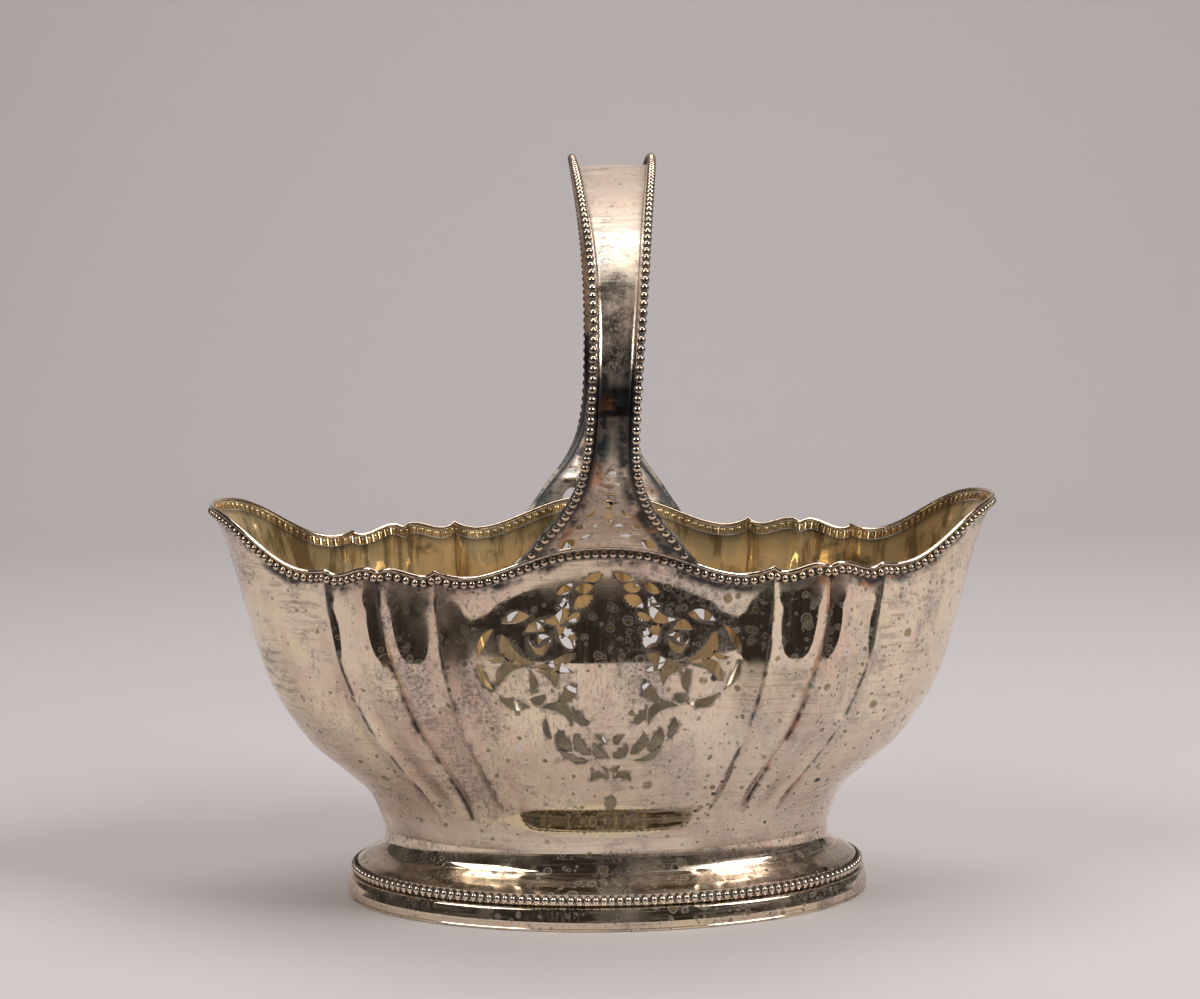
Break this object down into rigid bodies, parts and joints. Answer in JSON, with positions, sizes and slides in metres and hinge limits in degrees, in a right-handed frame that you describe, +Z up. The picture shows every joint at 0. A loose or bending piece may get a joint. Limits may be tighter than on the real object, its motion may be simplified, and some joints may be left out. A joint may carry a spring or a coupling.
{
  "type": "handled basket",
  "caption": "Lobed oval silver basket on a stepped foot, with pierced sides, beaded borders and a fixed strap handle arching over the short way.",
  "frame": {"origin": "middle of the foot's underside, on the surface the basket stands on", "axes": "+X along the long oval, +Y across it in the plane of the handle's arch, +Z up"},
  "size_m": [0.2996, 0.2516, 0.2812],
  "materials": {
    "body_silver": "polished silver plate with a warm haze and fine scratches, gilt inside the bowl",
    "wire_silver": "bright polished silver wire",
    "bead_silver": "polished silver beads with dark patina between them",
    "foot_silver": "polished silver plate with light tarnish"
  },
  "bodies": {
    "root": {"bowl_body": "body_silver", "rim_lip_wire": "wire_silver", "rim_bead_border": "bead_silver", "handle_strap": "body_silver", "handle_bead_wire_left": "bead_silver", "handle_bead_wire_right": "bead_silver", "foot_pedestal": "foot_silver", "foot_bead_band": "bead_silver", "foot_base_band": "foot_silver"}
  },
  "joints": []
}
